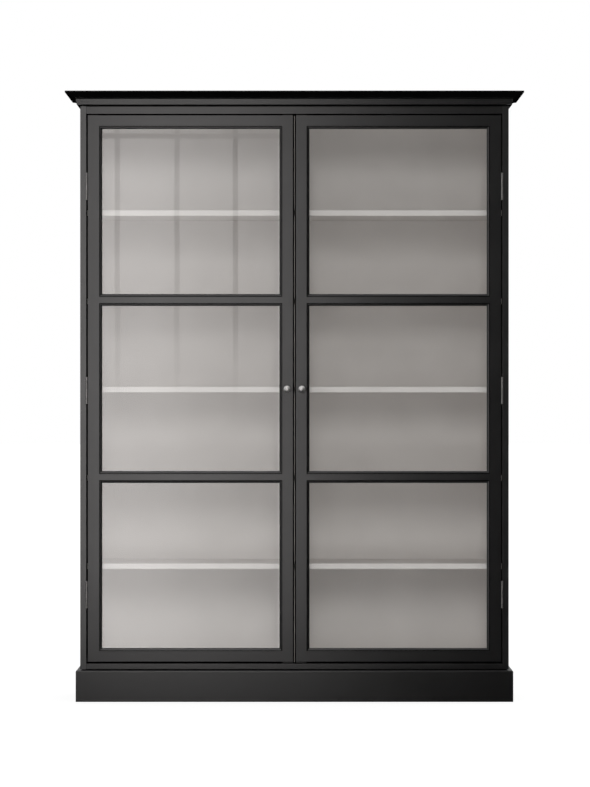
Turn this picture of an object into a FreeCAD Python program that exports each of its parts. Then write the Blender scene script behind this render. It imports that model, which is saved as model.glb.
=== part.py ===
"""Tall bookcase with two glazed doors, modelled in millimetres.

The case stands on a plinth and wears a crown moulding. Z is up, the doors face -Y, and the origin lies
on the floor under the middle of the bounding box. The left half is modelled and mirrored to the right.
"""
import FreeCAD, Part
import math
import os
from types import SimpleNamespace
import Sketcher

# Driving dimensions in millimetres, one named cell each.
SIZES = {
    # Case
    "overall_height": 2150,
    "carcass_width": 1511,
    "carcass_depth": 380,
    "side_thick": 22,
    "top_thick": 27,
    "bottom_thick": 20,
    "back_thick": 8,
    "back_rebate": 10,
    "tongue_thick": 12,
    "tongue_length": 8,
    "tongue_setback": 16,
    "arris_round": 1.5,
    "joint_clear": 0.2,
    # Crown
    "crown_height": 51,
    "crown_projection": 51,
    "crown_bearing": 30,
    "crown_gap_height": 6,
    "shadow_gap_depth": 6,
    "lower_fascia_height": 9,
    "lower_fascia_projection": 12,
    "upper_fascia_height": 9.5,
    "upper_fascia_projection": 14,
    "crown_fillet": 6,
    "crown_back_thick": 22,
    # Plinth
    "plinth_height": 110,
    "plinth_projection": 15,
    "plinth_thick": 32,
    "plinth_round": 4,
    "plinth_gap_height": 4,
    "block_width": 40,
    "block_height": 90,
    # Shelves and the pegs that carry them
    "shelf_thick": 20,
    "shelf_front_clear": 14,
    "shelf_end_clear": 1,
    "shelf_back_clear": 1,
    "shelf_round": 2,
    "shelf_drop": 4,
    "peg_radius": 3.5,
    "peg_length": 10,
    "peg_shank_radius": 2.5,
    "peg_shank_length": 9,
    "peg_inset": 45,
    # Doors
    "door_gap": 4,
    "door_foot_gap": 6,
    "meeting_gap": 4,
    "door_thick": 22,
    "stile_width": 51,
    "rail_width": 48,
    "middle_rail_width": 42,
    "sticking_width": 10,
    "quirk_width": 2,
    "quirk_depth": 2,
    "sight_wall": 1.5,
    "rebate_width": 8,
    "meeting_round": 4,
    "tenon_cover": 11,
    "tenon_cheek": 2,
    "tenon_shoulder": 12,
    "glass_thick": 4,
    "glass_edge_clear": 1.5,
    "bead_bevel": 3,
    # Knobs
    "knob_rise": 962,
    "knob_inset": 24,
    "knob_projection": 26,
    "knob_radius": 12,
    "knob_dome": 6,
    "knob_rim": 2,
    "knob_neck_radius": 4.5,
    "knob_neck_length": 7,
    "knob_base_radius": 8,
    "knob_base_thick": 3,
    "knob_bore_depth": 10,
    "knob_screw_radius": 2,
    "knob_screw_head_radius": 4,
    "knob_screw_head_thick": 2.5,
    # Butt hinges
    "hinge_length": 94,
    "lower_hinge_rise": 237,
    "upper_hinge_drop": 252,
    "leaf_thick": 2,
    "leaf_margin": 4,
    "barrel_radius": 4,
    "barrel_standoff": 0.3,
    "knuckle_gap": 0.4,
    "pin_radius": 2,
    "pin_head_radius": 3.4,
    "pin_head_thick": 1.6,
    "running_clear": 0.05,
    "hinge_screw_radius": 1.75,
    "hinge_screw_head_radius": 3.5,
    "hinge_screw_length": 16,
    "hinge_screw_spacing": 32,
    # Magnetic catches
    "catch_length": 36,
    "catch_height": 18,
    "catch_depth": 18,
    "magnet_length": 24,
    "magnet_height": 10,
    "magnet_depth": 6,
    "magnet_proud": 0.6,
    "catch_air": 0.4,
    "strike_length": 28,
    "strike_height": 12,
    "strike_thick": 1.5,
    "strike_edge": 1.5,
}
PANE_NAMES = ("bottom", "middle", "top")
RAIL_NAMES = ("bottom_rail", "lower_rail", "upper_rail", "top_rail")
SHELF_COUNT = 2 * len(PANE_NAMES) - 1
KNUCKLE_COUNT = 5
SCREWS_PER_LEAF = 3

doc = FreeCAD.newDocument("glazed_bookcase")
sheet = doc.addObject("Spreadsheet::Sheet", "sizes")
for row, (alias, number) in enumerate(SIZES.items(), start=1):
    sheet.set(f"A{row}", alias)
    sheet.set(f"B{row}", str(number))
    sheet.setAlias(f"B{row}", alias)
doc.recompute()


class Size:
    """A length: its value in mm, and the formula over the sheet that keeps it up to date."""

    def __init__(self, formula, value):
        self.formula = formula
        self.value = value

    def __add__(self, other):
        other = as_size(other)
        return Size(f"({self.formula} + {other.formula})", self.value + other.value)

    def __sub__(self, other):
        other = as_size(other)
        return Size(f"({self.formula} - {other.formula})", self.value - other.value)

    def __mul__(self, other):
        other = as_size(other)
        return Size(f"({self.formula} * {other.formula})", self.value * other.value)

    def __truediv__(self, other):
        other = as_size(other)
        return Size(f"({self.formula} / {other.formula})", self.value / other.value)

    def __neg__(self):
        return Size(f"(-1 * {self.formula})", -self.value)


def as_size(number):
    """A plain number as a Size."""
    if isinstance(number, Size):
        return number
    return Size(f"({float(number)})", float(number))


size = SimpleNamespace(**{alias: Size(f"sizes.{alias}", float(sheet.get(alias))) for alias in SIZES})
ZERO = as_size(0)
nodes = []


# Helpers for solids

def bind(thing, **links):
    """Tie properties of an object to formulas over the sheet."""
    for name, length in links.items():
        thing.setExpression(name, as_size(length).formula)


def place(thing, x, y, z):
    """Tie the position of an object to formulas over the sheet."""
    for axis, length in zip("xyz", (x, y, z)):
        thing.setExpression(f"Placement.Base.{axis}", as_size(length).formula)


def node(label, thing):
    """Name a finished piece and list it for export."""
    thing.Label = label
    nodes.append(thing)
    return thing


def block(name, x, y, z):
    """Rectangular block between the (low, high) pairs x, y and z."""
    solid = doc.addObject("Part::Box", name)
    bind(solid, Length=x[1] - x[0], Width=y[1] - y[0], Height=z[1] - z[0])
    place(solid, x[0], y[0], z[0])
    return solid


TURNS = {
    "X": FreeCAD.Rotation(FreeCAD.Vector(0, 1, 0), 90),
    "Y": FreeCAD.Rotation(FreeCAD.Vector(1, 0, 0), -90),
    "Z": FreeCAD.Rotation(),
    "-X": FreeCAD.Rotation(FreeCAD.Vector(0, 1, 0), -90),
}


def rod(name, direction, start, radius, length):
    """Cylinder from the point start along a direction."""
    solid = doc.addObject("Part::Cylinder", name)
    bind(solid, Radius=radius, Height=length)
    solid.Placement = FreeCAD.Placement(FreeCAD.Vector(), TURNS[direction])
    place(solid, *start)
    return solid


def cone(name, direction, start, first_radius, last_radius, length):
    """Cone frustum from the point start along a direction."""
    solid = doc.addObject("Part::Cone", name)
    bind(solid, Radius1=first_radius, Radius2=last_radius, Height=length)
    solid.Placement = FreeCAD.Placement(FreeCAD.Vector(), TURNS[direction])
    place(solid, *start)
    return solid


def fuse(name, pieces):
    """One solid out of pieces that run into each other."""
    solid = doc.addObject("Part::MultiFuse", name)
    solid.Shapes = pieces
    return solid


def cut(name, base, tools):
    """What is left of base once every tool has been taken away."""
    solid = doc.addObject("Part::Cut", name)
    solid.Base = base
    solid.Tool = tools[0] if len(tools) == 1 else fuse(f"{name}_waste", tools)
    return solid


def group(name, pieces):
    """Separate solids kept together under one name."""
    solid = doc.addObject("Part::Compound", name)
    solid.Links = pieces
    return solid


def mirror(name, thing):
    """The same piece on the other side of the middle plane."""
    twin = doc.addObject("Part::Mirroring", name)
    twin.Source = thing
    twin.Normal = FreeCAD.Vector(1, 0, 0)
    twin.Base = FreeCAD.Vector(0, 0, 0)
    return twin


def with_twins(pieces):
    """The pieces and their mirror images."""
    return pieces + [mirror(f"{piece.Name}_twin", piece) for piece in pieces]


def mirrored_pair(label, thing):
    """Two nodes: the left piece, and its mirror image on the right."""
    node(f"left_{label}", thing)
    node(f"right_{label}", mirror(f"{label}_mirrored", thing))


# Helpers for profiles

def plane_of(body, role):
    """One of the origin planes of a body."""
    return next(feature for feature in body.Origin.OriginFeatures if feature.Role == role)


def sketch_on(body, name, role, origin=(ZERO, ZERO, ZERO)):
    """Sketch on an origin plane, moved by (across, up, along the normal)."""
    sketch = body.newObject("Sketcher::SketchObject", name)
    sketch.AttachmentSupport = [(plane_of(body, role), "")]
    sketch.MapMode = "FlatFace"
    for axis, length in zip("xyz", origin):
        sketch.setExpression(f"AttachmentOffset.Base.{axis}", as_size(length).formula)
    return sketch


def arc_between(start, end, radius, turn):
    """Arc of less than a half circle from start to end. A turn of 1 runs anticlockwise, -1 clockwise."""
    chord = end - start
    middle = start + chord * 0.5
    to_left = FreeCAD.Vector(-chord.y, chord.x, 0) / chord.Length
    rise = math.sqrt(max(radius ** 2 - (chord.Length / 2) ** 2, 0))
    centre = middle + to_left * rise * turn
    first, last = (start, end) if turn > 0 else (end, start)
    angles = [math.atan2(point.y - centre.y, point.x - centre.x) for point in (first, last)]
    circle = Part.Circle(centre, FreeCAD.Vector(0, 0, 1), radius)
    return Part.ArcOfCircle(circle, *angles)


def outline(sketch, path):
    """Closed outline through the points (u, v). A third item (radius, turn) makes the next edge an arc."""
    corners = [FreeCAD.Vector(as_size(point[0]).value, as_size(point[1]).value, 0) for point in path]
    first_edge = sketch.GeometryCount
    edges = []
    for index, point in enumerate(path):
        start = corners[index]
        end = corners[(index + 1) % len(path)]
        if len(point) > 2:
            radius, turn = point[2]
            edges.append(arc_between(start, end, as_size(radius).value, turn))
        else:
            edges.append(Part.LineSegment(start, end))
    sketch.addGeometry(edges, False)
    ends = [(2, 1) if len(point) > 2 and point[2][1] < 0 else (1, 2) for point in path]
    rules = []
    formulas = []
    for index, point in enumerate(path):
        edge = first_edge + index
        before = first_edge + (index - 1) % len(path)
        rules.append(Sketcher.Constraint("Coincident", before, ends[index - 1][1], edge, ends[index][0]))
        formulas.append(None)
        for kind, length in zip(("DistanceX", "DistanceY"), point):
            rules.append(Sketcher.Constraint(kind, -1, 1, edge, ends[index][0], as_size(length).value))
            formulas.append(as_size(length).formula)
        if len(point) > 2:
            rules.append(Sketcher.Constraint("Radius", edge, as_size(point[2][0]).value))
            formulas.append(as_size(point[2][0]).formula)
    first_rule = sketch.ConstraintCount
    sketch.addConstraint(rules)
    for index, formula in enumerate(formulas):
        if formula:
            sketch.setExpression(f"Constraints[{first_rule + index}]", formula)


def pad(body, sketch, length):
    """Profile drawn out along the normal of its sketch."""
    feature = body.newObject("PartDesign::Pad", f"{sketch.Name}_pad")
    feature.Profile = sketch
    bind(feature, Length=length)
    return feature


def pocket_through(body, sketch):
    """Profile cut right through, against the normal of its sketch."""
    feature = body.newObject("PartDesign::Pocket", f"{sketch.Name}_pocket")
    feature.Profile = sketch
    feature.Type = "ThroughAll"
    return feature


def moulding(name, role, path, start, length):
    """Board of constant section: path drawn on a plane at start along its normal, and padded by length."""
    body = doc.addObject("PartDesign::Body", name)
    sketch = sketch_on(body, f"{name}_section", role, (ZERO, ZERO, start))
    outline(sketch, path)
    pad(body, sketch, length)
    return body


def turned(name, role, origin, path):
    """Piece turned on a lathe: path revolved about the horizontal axis of its sketch."""
    body = doc.addObject("PartDesign::Body", name)
    sketch = sketch_on(body, f"{name}_section", role, origin)
    outline(sketch, path)
    feature = body.newObject("PartDesign::Revolution", f"{name}_turning")
    feature.Profile = sketch
    feature.ReferenceAxis = (sketch, ["H_Axis"])
    feature.Angle = 360
    return body


# Reference planes of the case
half_width = size.carcass_width / 2
inner_half = half_width - size.side_thick
case_front = (size.crown_projection - size.carcass_depth) / 2
case_back = case_front + size.carcass_depth
case_base = size.plinth_height + size.plinth_gap_height
case_top = size.overall_height - size.crown_height
floor_level = case_base + size.bottom_thick
ceiling_level = case_top - size.top_thick
back_front = case_back - size.back_thick

# Reference planes of the left door
hinge_edge = size.door_gap - inner_half
meeting_edge = -size.meeting_gap / 2
door_base = floor_level + size.door_foot_gap
door_top = ceiling_level - size.door_gap
door_back = case_front + size.door_thick
hinge_sight = hinge_edge + size.stile_width
meeting_sight = meeting_edge - size.stile_width
ovolo_radius = size.sticking_width - size.quirk_width
glass_setback = size.quirk_depth + ovolo_radius + size.sight_wall
glass_front = case_front + glass_setback
glass_back = glass_front + size.glass_thick
rails_total = size.rail_width * 2 + size.middle_rail_width * (len(PANE_NAMES) - 1)
pane_height = (door_top - door_base - rails_total) / len(PANE_NAMES)
knob_x = meeting_edge - size.knob_inset
knob_z = door_base + size.knob_rise

# Hinge axis of the left door, midway between the two leaves and proud of the front
axis_x = hinge_edge - (size.door_gap + size.leaf_thick) / 2
axis_y = case_front - size.barrel_radius - size.barrel_standoff
lower_hinge = door_base + size.lower_hinge_rise
upper_hinge = door_top - size.upper_hinge_drop
hinge_levels = {"lower": lower_hinge, "middle": (lower_hinge + upper_hinge) / 2, "upper": upper_hinge}
leaf_depth = size.door_thick - size.leaf_margin
knuckle_length = (size.hinge_length - size.knuckle_gap * (KNUCKLE_COUNT - 1)) / KNUCKLE_COUNT
screw_y = case_front + leaf_depth / 2
screw_depth = size.hinge_screw_head_radius - size.hinge_screw_radius
pilot_radius = size.hinge_screw_radius + size.running_clear

# Shelves, counted from the bottom, a little below the middle of each pane and each middle rail
shelf_back = back_front - size.shelf_back_clear
shelf_front = door_back + size.shelf_front_clear
shelf_pitch = (pane_height + size.middle_rail_width) / 2
lowest_shelf = door_base + size.rail_width + pane_height / 2 - size.shelf_drop - size.shelf_thick / 2
shelf_levels = [lowest_shelf + shelf_pitch * index for index in range(SHELF_COUNT)]
peg_rows = (shelf_front + size.peg_inset, shelf_back - size.peg_inset)


def screw_levels(level):
    """Heights of the screws in a hinge leaf."""
    middle = (SCREWS_PER_LEAF - 1) / 2
    return [level + size.hinge_screw_spacing * (index - middle) for index in range(SCREWS_PER_LEAF)]


# Case

def make_sides():
    """Sides with housings for top and bottom, a rebate for the back, hinge recesses and peg holes."""
    r = size.arris_round
    c = size.joint_clear
    outer = -half_width
    inner = -inner_half
    rebate = inner - size.back_rebate - c
    section = [
        (outer, case_front + r, (r, 1)),
        (outer + r, case_front),
        (inner - r, case_front, (r, 1)),
        (inner, case_front + r),
        (inner, back_front),
        (rebate, back_front),
        (rebate, case_back),
        (outer, case_back),
    ]
    board = moulding("left_side_board", "XY_Plane", section, case_base, case_top - case_base)
    housing_x = (inner - size.tongue_length - c, inner + c)
    housing_y = (case_front + size.tongue_setback - c, back_front)
    housings = {"bottom": case_base + size.bottom_thick / 2, "top": case_top - size.top_thick / 2}
    waste = []
    for name, level in housings.items():
        reach = size.tongue_thick / 2 + c
        waste.append(block(f"{name}_housing", housing_x, housing_y, (level - reach, level + reach)))
    recess_x = (inner - size.leaf_thick, inner + c)
    recess_y = (case_front - c, case_front + leaf_depth + c)
    for name, level in hinge_levels.items():
        reach = size.hinge_length / 2 + c
        waste.append(block(f"{name}_leaf_recess", recess_x, recess_y, (level - reach, level + reach)))
        for index, z in enumerate(screw_levels(level)):
            waste.append(rod(f"{name}_side_pilot_{index}", "-X", (inner, screw_y, z), pilot_radius,
                             size.hinge_screw_length + c))
    hole_radius = size.peg_shank_radius + size.running_clear
    for index, level in enumerate(shelf_levels):
        for row, y in enumerate(peg_rows):
            waste.append(rod(f"peg_hole_{index}_{row}", "-X", (inner, y, level - size.peg_radius),
                             hole_radius, size.peg_shank_length + c))
    mirrored_pair("side", cut("left_side_cut", board, waste))


def make_panel(label, low, high):
    """Top or bottom board, tongued into both sides behind a front shoulder."""
    r = size.arris_round
    section = [
        (case_front, low + r, (r, 1)),
        (case_front + r, low),
        (back_front, low),
        (back_front, high),
        (case_front + r, high, (r, 1)),
        (case_front, high - r),
    ]
    board = moulding(f"{label}_board", "YZ_Plane", section, -inner_half, inner_half * 2)
    level = (low + high) / 2
    reach = inner_half + size.tongue_length
    tongue = block(f"{label}_tongues", (-reach, reach), (case_front + size.tongue_setback, back_front),
                   (level - size.tongue_thick / 2, level + size.tongue_thick / 2))
    node(label, fuse(f"{label}_joined", [board, tongue]))


def make_back():
    """Back board let into the rebates of the sides, covering the edges of top and bottom."""
    reach = inner_half + size.back_rebate
    node("back_panel", block("back_board", (-reach, reach), (back_front, case_back), (case_base, case_top)))


def ring_profile(path, front_name, side_name, start, bearing, projection):
    """Front and left members of a moulded ring round the case, with a mitre at the corner.

    The path holds points (outward, z); outward counts from the face of the case. The front member is
    drawn across the case and the left one from the back to the front.
    """
    reach = half_width + projection
    front_face = case_front - projection
    inside = (-half_width + bearing, case_front + bearing)
    front_path = [(case_front - point[0], *point[1:]) for point in path]
    front = moulding(front_name, "YZ_Plane", front_path, -reach, reach * 2)
    mitre = sketch_on(front, f"{front_name}_mitres", "XY_Plane", (ZERO, ZERO, start))
    outline(mitre, [(-reach, front_face), inside, (-reach, inside[1])])
    outline(mitre, [(reach, front_face), (reach, inside[1]), (-inside[0], inside[1])])
    pocket_through(front, mitre)
    side_path = [(-half_width - point[0], *point[1:]) for point in path]
    side = moulding(side_name, "XZ_Plane", side_path, -case_back, case_back - front_face)
    mitre = sketch_on(side, f"{side_name}_mitre", "XY_Plane", (ZERO, ZERO, start))
    outline(mitre, [(-reach, front_face), (inside[0], front_face), inside])
    pocket_through(side, mitre)
    return front, side


def make_crown():
    """Crown: shadow gap, two fascias, a cavetto and a top fillet, closed by a plain rail at the back."""
    gap_top = case_top + size.crown_gap_height
    step = gap_top + size.lower_fascia_height
    cove_base = step + size.upper_fascia_height
    cove_top = size.overall_height - size.crown_fillet
    cove_reach = size.crown_projection - size.upper_fascia_projection
    cove_rise = cove_top - cove_base
    cove_radius = (cove_reach * cove_reach + cove_rise * cove_rise) / (cove_rise * 2)
    path = [
        (-size.crown_bearing, case_top),
        (-size.shadow_gap_depth, case_top),
        (-size.shadow_gap_depth, gap_top),
        (size.lower_fascia_projection, gap_top),
        (size.lower_fascia_projection, step),
        (size.upper_fascia_projection, step),
        (size.upper_fascia_projection, cove_base, (cove_radius, 1)),
        (size.crown_projection, cove_top),
        (size.crown_projection, size.overall_height),
        (-size.crown_bearing, size.overall_height),
    ]
    front, side = ring_profile(path, "crown_front_profile", "crown_side_profile", size.overall_height,
                               size.crown_bearing, size.crown_projection)
    node("crown_front", front)
    node("crown_left", side)
    node("crown_right", mirror("crown_right_profile", side))
    span = half_width - size.crown_bearing
    node("crown_back", block("crown_back_rail", (-span, span), (case_back - size.crown_back_thick, case_back),
                             (case_top, size.overall_height)))


def make_plinth():
    """Plinth: mitred boards with an eased top edge and a raised tread that carries the case."""
    r = size.plinth_round
    bearing = size.plinth_thick - size.plinth_projection
    path = [
        (-bearing, ZERO),
        (size.plinth_projection, ZERO),
        (size.plinth_projection, size.plinth_height - r, (r, -1)),
        (size.plinth_projection - r, size.plinth_height),
        (-size.shadow_gap_depth, size.plinth_height),
        (-size.shadow_gap_depth, case_base),
        (-bearing, case_base),
    ]
    front, side = ring_profile(path, "plinth_front_profile", "plinth_side_profile", case_base, bearing,
                               size.plinth_projection)
    node("plinth_front", front)
    node("plinth_left", side)
    node("plinth_right", mirror("plinth_right_profile", side))
    span = half_width - bearing
    rear = case_back - size.plinth_thick
    node("plinth_back", block("plinth_back_board", (-span, span), (rear, case_back), (ZERO, case_base)))
    low = case_base - size.block_height
    starts = (case_front + bearing, rear - size.block_width)
    blocks = [block(f"corner_block_{index}", (-span, size.block_width - span), (y, y + size.block_width),
                    (low, case_base)) for index, y in enumerate(starts)]
    node("plinth_corner_blocks", group("corner_blocks", with_twins(blocks)))


def make_shelves():
    """Loose shelves with eased front edges, each on four pegs."""
    r = size.shelf_round
    reach = inner_half - size.shelf_end_clear
    pegs = []
    for index, low in enumerate(shelf_levels):
        high = low + size.shelf_thick
        section = [
            (shelf_front, low + r, (r, 1)),
            (shelf_front + r, low),
            (shelf_back, low),
            (shelf_back, high),
            (shelf_front + r, high, (r, 1)),
            (shelf_front, high - r),
        ]
        node(f"shelf_{index + 1}", moulding(f"shelf_board_{index}", "YZ_Plane", section, -reach, reach * 2))
        for row, y in enumerate(peg_rows):
            z = low - size.peg_radius
            shank = rod(f"peg_shank_{index}_{row}", "X", (-inner_half - size.peg_shank_length, y, z),
                        size.peg_shank_radius, size.peg_shank_length + size.peg_length)
            head = rod(f"peg_head_{index}_{row}", "X", (-inner_half, y, z), size.peg_radius, size.peg_length)
            pegs.append(fuse(f"peg_{index}_{row}", [shank, head]))
    node("shelf_pegs", group("pegs", with_twins(pegs)))


def make_catches():
    """Magnetic catches at top and bottom behind the meeting stiles, with strike plates on the doors."""
    x = meeting_sight + size.rebate_width + (size.stile_width - size.rebate_width) / 2
    face = door_back + size.strike_thick + size.catch_air
    body_front = face + size.magnet_proud
    housings = []
    magnets = []
    strikes = []
    seats = {
        "lower": (floor_level, floor_level + size.catch_height, door_base + size.strike_edge),
        "upper": (ceiling_level - size.catch_height, ceiling_level,
                  door_top - size.strike_edge - size.strike_height),
    }
    for name, (low, high, strike_low) in seats.items():
        level = (low + high) / 2
        shell = block(f"{name}_catch_shell", (x - size.catch_length / 2, x + size.catch_length / 2),
                      (body_front, body_front + size.catch_depth), (low, high))
        spans = ((x - size.magnet_length / 2, x + size.magnet_length / 2),
                 (face, face + size.magnet_depth),
                 (level - size.magnet_height / 2, level + size.magnet_height / 2))
        magnets.append(block(f"{name}_magnet", *spans))
        slot = block(f"{name}_magnet_slot", *spans)
        housings.append(cut(f"{name}_catch", shell, [slot]))
        strikes.append(block(f"{name}_strike", (x - size.strike_length / 2, x + size.strike_length / 2),
                             (door_back, door_back + size.strike_thick),
                             (strike_low, strike_low + size.strike_height)))
    node("catch_housings", group("catches", with_twins(housings)))
    node("catch_magnets", group("magnets", with_twins(magnets)))
    mirrored_pair("door_strike_plates", group("strikes", strikes))


# Doors

def sticking(sight, away):
    """Moulded edge beside a pane as points (across, depth, arc), from the face to the back.

    The sight line is at sight, and away is the direction (1 or -1) in which the wood lies. A quirk, an
    ovolo, the sight wall and the rebate for the glass follow each other.
    """
    return [
        (sight + size.sticking_width * away, ZERO),
        (sight + size.sticking_width * away, size.quirk_depth),
        (sight + ovolo_radius * away, size.quirk_depth, ovolo_radius),
        (sight, size.quirk_depth + ovolo_radius),
        (sight, glass_setback),
        (sight + size.rebate_width * away, glass_setback),
        (sight + size.rebate_width * away, size.door_thick),
    ]


def edge_member(sight, outer, away, edge_round):
    """Section of a member with a pane on one side only, as points (across, depth, arc)."""
    return sticking(sight, away) + [
        (outer, size.door_thick),
        (outer, edge_round, edge_round),
        (outer - edge_round * away, ZERO),
    ]


def on_stile(points, away):
    """Section points laid out for an upright member."""
    return [(point[0], case_front + point[1], *[(radius, -away) for radius in point[2:]]) for point in points]


def on_rail(points, away):
    """Section points laid out for a level member."""
    return [(case_front + point[1], point[0], *[(radius, away) for radius in point[2:]]) for point in points]


def middle_rail_section(low, high):
    """Section of a rail with a pane above and below it."""
    lower = on_rail(sticking(low, 1), 1)
    upper = [point[:2] for point in on_rail(sticking(high, -1), -1)][::-1]
    arc_start = len(upper) - 4
    upper[arc_start] = (*upper[arc_start], (ovolo_radius, 1))
    return lower + upper


def rail_levels():
    """Low and high edge of each rail, from the bottom of the door to its top."""
    spans = [(door_base, door_base + size.rail_width)]
    for _ in PANE_NAMES[1:]:
        low = spans[-1][1] + pane_height
        spans.append((low, low + size.middle_rail_width))
    spans.append((door_top - size.rail_width, door_top))
    return spans


def tenon_span(index, low, high):
    """Heights between which the tenon of a rail stands, clear of the moulded edges and the door's ends."""
    last = len(PANE_NAMES)
    bottom = low + (size.tenon_shoulder if index == 0 else size.sticking_width)
    top = high - (size.tenon_shoulder if index == last else size.sticking_width)
    return bottom, top


def make_door_frame():
    """Stiles with mortises, and rails coped over the moulded edge of the stiles and tenoned into them."""
    c = size.joint_clear
    stiles = {
        "hinge_stile": (hinge_sight, hinge_edge, -1, size.arris_round),
        "meeting_stile": (meeting_sight, meeting_edge, 1, size.meeting_round),
    }
    boards = {}
    waste = {}
    for name, (sight, outer, away, edge_round) in stiles.items():
        section = on_stile(edge_member(sight, outer, away, edge_round), away)
        boards[name] = moulding(f"{name}_board", "XY_Plane", section, door_base, door_top - door_base)
        waste[name] = []
    tenon_y = (glass_front + c, door_back - size.tenon_cheek)
    mortise_y = (tenon_y[0] - c, tenon_y[1] + c)
    reach = size.stile_width - size.tenon_cover
    for index, (rail, (low, high)) in enumerate(zip(RAIL_NAMES, rail_levels())):
        if index == 0:
            section = on_rail(edge_member(high, low, -1, size.arris_round), -1)
        elif index == len(PANE_NAMES):
            section = on_rail(edge_member(low, high, 1, size.arris_round), 1)
        else:
            section = middle_rail_section(low, high)
        blank = moulding(f"{rail}_blank", "YZ_Plane", section, hinge_sight - size.sticking_width,
                         meeting_sight - hinge_sight + size.sticking_width * 2)
        coped = cut(f"{rail}_coped", blank, list(boards.values()))
        bottom, top = tenon_span(index, low, high)
        tenon = block(f"{rail}_tenons", (hinge_sight - reach, meeting_sight + reach), tenon_y, (bottom, top))
        mirrored_pair(f"door_{rail}", fuse(f"{rail}_joined", [coped, tenon]))
        mortise_z = (bottom - c, top + c)
        mortise_x = {
            "hinge_stile": (hinge_sight - reach - c, hinge_sight),
            "meeting_stile": (meeting_sight, meeting_sight + reach + c),
        }
        for name, span in mortise_x.items():
            waste[name].append(block(f"{rail}_{name}_mortise", span, mortise_y, mortise_z))
    for name, level in hinge_levels.items():
        for index, z in enumerate(screw_levels(level)):
            waste["hinge_stile"].append(rod(f"{name}_stile_pilot_{index}", "X", (hinge_edge, screw_y, z),
                                            pilot_radius, size.hinge_screw_length))
    waste["meeting_stile"].append(rod("knob_screw_hole", "Y", (knob_x, case_front, knob_z),
                                      size.knob_screw_radius + size.running_clear, size.door_thick))
    for name, board in boards.items():
        mirrored_pair(f"door_{name}", cut(f"{name}_cut", board, waste[name]))


def make_glazing():
    """Panes in the rebates, each held from behind by four bevelled beads."""
    cover = size.rebate_width - size.glass_edge_clear
    bevel = size.bead_bevel
    width = size.rebate_width
    beads = []
    spans = rail_levels()
    for index, name in enumerate(PANE_NAMES):
        low = spans[index][1]
        high = spans[index + 1][0]
        pane = block(f"{name}_pane", (hinge_sight - cover, meeting_sight + cover), (glass_front, glass_back),
                     (low - cover, high + cover))
        mirrored_pair(f"door_glass_{name}", pane)
        left = hinge_sight - width
        right = meeting_sight + width
        full = (low - width, high + width)
        inside = (hinge_sight, meeting_sight)
        opened = (hinge_sight - bevel, meeting_sight + bevel)
        rows = {
            "hinge": ((left, hinge_sight), (left, opened[0]), full, full),
            "meeting": ((meeting_sight, right), (opened[1], right), full, full),
            "low": (inside, opened, (low - width, low), (low - width, low - bevel)),
            "high": (inside, opened, (high, high + width), (high + bevel, high + width)),
        }
        for side, (x, x_back, z, z_back) in rows.items():
            bead = doc.addObject("Part::Wedge", f"{name}_{side}_bead")
            bind(bead, Xmin=x[0], Xmax=x[1], X2min=x_back[0], X2max=x_back[1], Zmin=z[0], Zmax=z[1],
                 Z2min=z_back[0], Z2max=z_back[1], Ymin=glass_back, Ymax=door_back)
            beads.append(bead)
    mirrored_pair("door_glazing_beads", group("beads", beads))


def make_knobs():
    """Turned mushroom knobs, each drawn on to the meeting stile by a screw from behind."""
    out = size.knob_projection
    rim_back = out - size.knob_dome - size.knob_rim
    neck_end = size.knob_base_thick + size.knob_neck_length
    bore = size.knob_screw_radius + size.running_clear
    dome = (size.knob_radius * size.knob_radius + size.knob_dome * size.knob_dome) / (size.knob_dome * 2)
    rise = rim_back - neck_end
    flare = size.knob_radius - size.knob_neck_radius
    hollow = (rise * rise + flare * flare) / (rise * 2)
    path = [
        (-out, ZERO, (dome, -1)),
        (size.knob_dome - out, size.knob_radius),
        (-rim_back, size.knob_radius, (hollow, 1)),
        (-neck_end, size.knob_neck_radius),
        (-size.knob_base_thick, size.knob_neck_radius),
        (-size.knob_base_thick, size.knob_base_radius),
        (ZERO, size.knob_base_radius),
        (ZERO, bore),
        (-size.knob_bore_depth, bore),
        (-size.knob_bore_depth, ZERO),
    ]
    mirrored_pair("door_knob", turned("knob", "YZ_Plane", (case_front, knob_z, knob_x), path))
    head = rod("knob_screw_head", "Y", (knob_x, door_back, knob_z), size.knob_screw_head_radius,
               size.knob_screw_head_thick)
    tip = case_front - size.knob_bore_depth + size.joint_clear
    shank = rod("knob_screw_shank", "Y", (knob_x, tip, knob_z), size.knob_screw_radius, door_back - tip)
    mirrored_pair("door_knob_screw", fuse("knob_screw", [head, shank]))


# Hinges

def knuckle_spans(level, first):
    """Low and high end of every second knuckle, starting with the one numbered first."""
    start = level - size.hinge_length / 2
    pitch = knuckle_length + size.knuckle_gap
    lows = [start + pitch * index for index in range(first, KNUCKLE_COUNT, 2)]
    return [(low, low + knuckle_length) for low in lows]


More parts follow.
